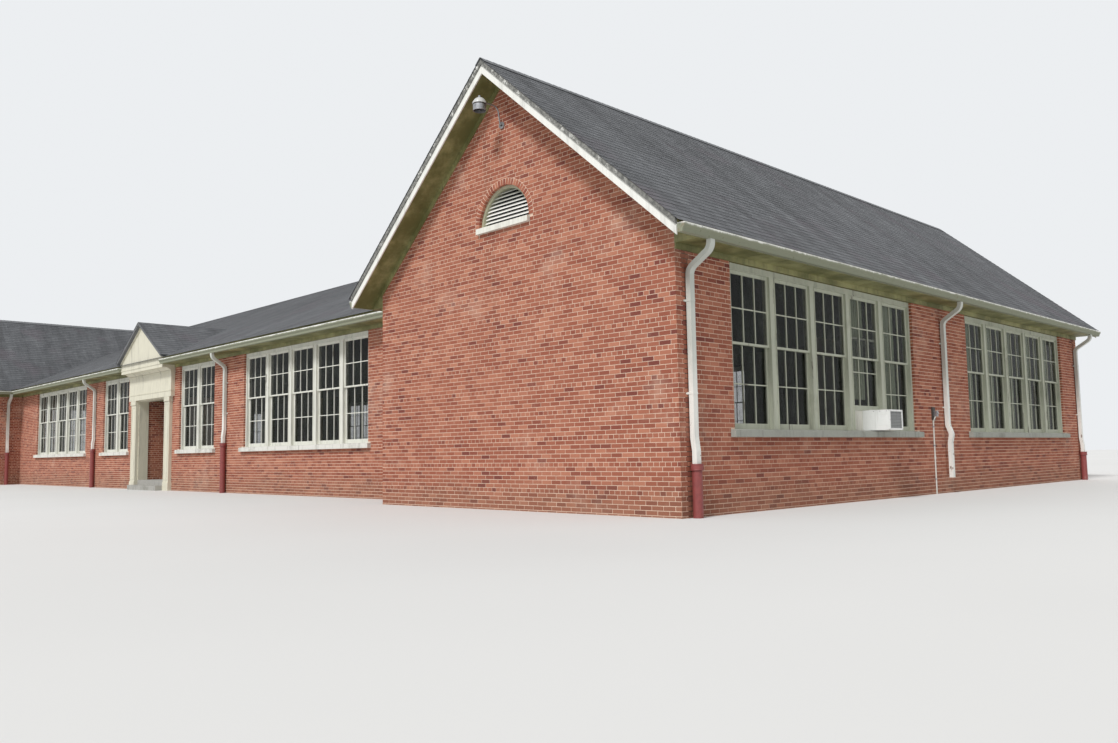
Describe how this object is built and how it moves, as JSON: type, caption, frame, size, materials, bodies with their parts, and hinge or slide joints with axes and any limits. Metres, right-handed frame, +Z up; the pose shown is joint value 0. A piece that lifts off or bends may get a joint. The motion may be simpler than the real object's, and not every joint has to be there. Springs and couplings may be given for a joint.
{
  "type": "school building scale model",
  "caption": "Half-size model of a low brick school on an H plan: gabled wings, a lower-pitched hall roof, sash window groups, boxed eaves and a pedimented porch.",
  "frame": {"origin": "on the ground at the centre of the plan, on the underside of the hall's floor", "axes": "+X along the building to the right wing, -Y out of the entrance front, +Z up"},
  "size_m": [22.514, 9.167, 3.7613],
  "materials": {
    "brick": "matte",
    "concrete": "matte",
    "shingles": "matte",
    "white_trim": "satin",
    "aged_trim": "matte",
    "window_paint": "satin",
    "stone_sill": "matte",
    "gutter_metal": "satin",
    "cast_iron": "satin",
    "window_glass": "gloss",
    "galvanised": "satin",
    "case_enamel": "gloss",
    "dark_board": "matte",
    "door_paint": "satin",
    "curtain_cloth": "matte"
  },
  "bodies": {
    "root": {"hall_floor": "concrete", "wing_floors": "concrete", "entrance_step": "concrete", "right_front_gable_wall": "brick", "right_rear_gable_wall": "brick", "left_front_gable_wall": "brick", "left_rear_gable_wall": "brick", "right_side_wall": "brick", "left_side_wall": "brick", "return_walls": "brick", "hall_front_wall_right": "brick", "hall_front_wall_left": "brick", "wall_over_entrance": "brick", "hall_rear_wall": "brick", "porch_walls": "brick", "wing_outer_roofs": "shingles", "wing_inner_roofs_front": "shingles", "wing_inner_roofs_rear": "shingles", "hall_roof_front": "shingles", "hall_roof_rear": "shingles", "ridge_caps": "shingles", "pediment_roof": "shingles", "eave_fascias": "white_trim", "eave_soffits": "aged_trim", "eave_friezes": "aged_trim", "cornice_returns": "aged_trim", "rake_moulds": "dark_board", "rake_fascias": "white_trim", "rake_friezes": "aged_trim", "gutters": "gutter_metal", "downspouts": "gutter_metal", "downspout_boots": "cast_iron", "window_sills": "stone_sill", "window_frames": "window_paint", "upper_sashes": "window_paint", "lower_sashes": "window_paint", "window_glass": "window_glass", "entrance_lining": "white_trim", "pilasters": "white_trim", "entablature": "white_trim", "pediment_board": "white_trim", "porch_ceiling": "aged_trim", "door_screen": "white_trim", "doors": "door_paint", "door_glass": "window_glass", "vent_frames": "white_trim", "vent_louvres": "white_trim", "lamp_arm": "galvanised", "lamp_head": "galvanised", "lamp_bulb": "window_glass", "air_conditioner": "case_enamel", "meter_board": "dark_board", "meter_box": "galvanised", "conduit": "gutter_metal", "curtain_rods": "galvanised", "curtains": "curtain_cloth"}
  },
  "joints": []
}
